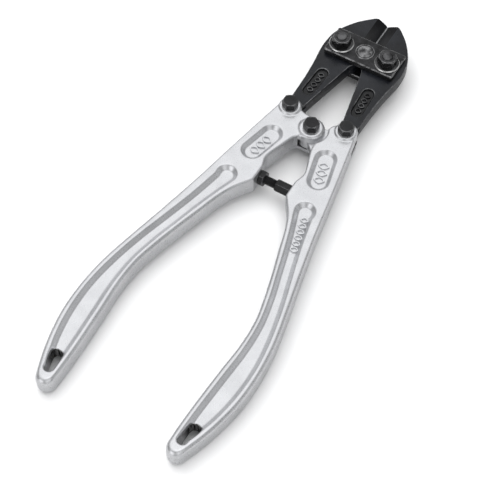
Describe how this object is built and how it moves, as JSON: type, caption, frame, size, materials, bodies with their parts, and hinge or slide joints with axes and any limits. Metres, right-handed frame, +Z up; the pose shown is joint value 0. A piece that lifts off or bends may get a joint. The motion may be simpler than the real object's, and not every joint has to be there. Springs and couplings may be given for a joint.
{
  "type": "compact bolt cutters",
  "caption": "Compact centre-cut bolt cutters with cast aluminium handles, black steel jaws joined by two plates, and an adjustable stop between the handles.",
  "frame": {"origin": "centre of the bounding box, on the surface that the tool lies on", "axes": "+Y along the tool towards the jaws, +X across the handles to the tongued one, +Z up from the surface that the tool lies on"},
  "size_m": [0.1062, 0.2962, 0.0269],
  "materials": {
    "cast_handle": "satin cast",
    "jaw_steel": "black oxide",
    "forged_plate": "forged, worn at the edges",
    "plate_fastener": "dark phosphate",
    "bright_washer": "bright zinc",
    "black_steel": "black oxide"
  },
  "bodies": {
    "joint": {"joint_plate_top": "forged_plate", "joint_plate_bottom": "forged_plate", "plate_bolt_left": "plate_fastener", "plate_bolt_right": "plate_fastener", "plate_nut_left": "plate_fastener", "plate_nut_right": "plate_fastener", "plate_washer_left": "bright_washer", "plate_washer_right": "bright_washer", "plate_under_washer_left": "bright_washer", "plate_under_washer_right": "bright_washer"},
    "left_jaw": {"jaw_left": "jaw_steel"},
    "right_jaw": {"jaw_right": "jaw_steel"},
    "left_handle": {"handle_left": "cast_handle", "link_bolt_left": "black_steel", "link_nut_left": "black_steel", "centre_bolt": "black_steel", "centre_nut": "black_steel", "stop_jam_nut": "black_steel"},
    "right_handle": {"handle_right": "cast_handle", "link_bolt_right": "black_steel", "link_nut_right": "black_steel"},
    "stop_screw": {"stop_bolt": "black_steel"}
  },
  "joints": [
    {"name": "right_jaw_pivot", "type": "hinge", "parent": "joint", "child": "right_jaw", "pos_m": [0.0145, 0.1174, 0.01255], "axis": [0, 0, -1], "range_deg": [0, 8]},
    {"name": "left_jaw_pivot", "type": "hinge", "parent": "joint", "child": "left_jaw", "pos_m": [-0.0145, 0.1174, 0.01255], "axis": [0, 0, 1], "range_deg": [0, 8]},
    {"name": "right_link_pivot", "type": "hinge", "parent": "right_jaw", "child": "right_handle", "pos_m": [0.0175, 0.0636, 0.01255], "axis": [0, 0, 1], "range_deg": [0, 44.8]},
    {"name": "left_link_pivot", "type": "hinge", "parent": "left_jaw", "child": "left_handle", "pos_m": [-0.0175, 0.0636, 0.01255], "axis": [0, 0, -1], "range_deg": [0, 44.8]},
    {"name": "stop_adjustment", "type": "slide", "parent": "left_handle", "child": "stop_screw", "axis": [-1, 0, 0], "range_m": [0, 0.004]}
  ],
  "couplings": [
    {"joint": "right_link_pivot", "follows": "left_link_pivot", "ratio": 1},
    {"joint": "left_jaw_pivot", "follows": "left_link_pivot", "ratio": 0.17857},
    {"joint": "right_jaw_pivot", "follows": "left_link_pivot", "ratio": 0.17857}
  ]
}
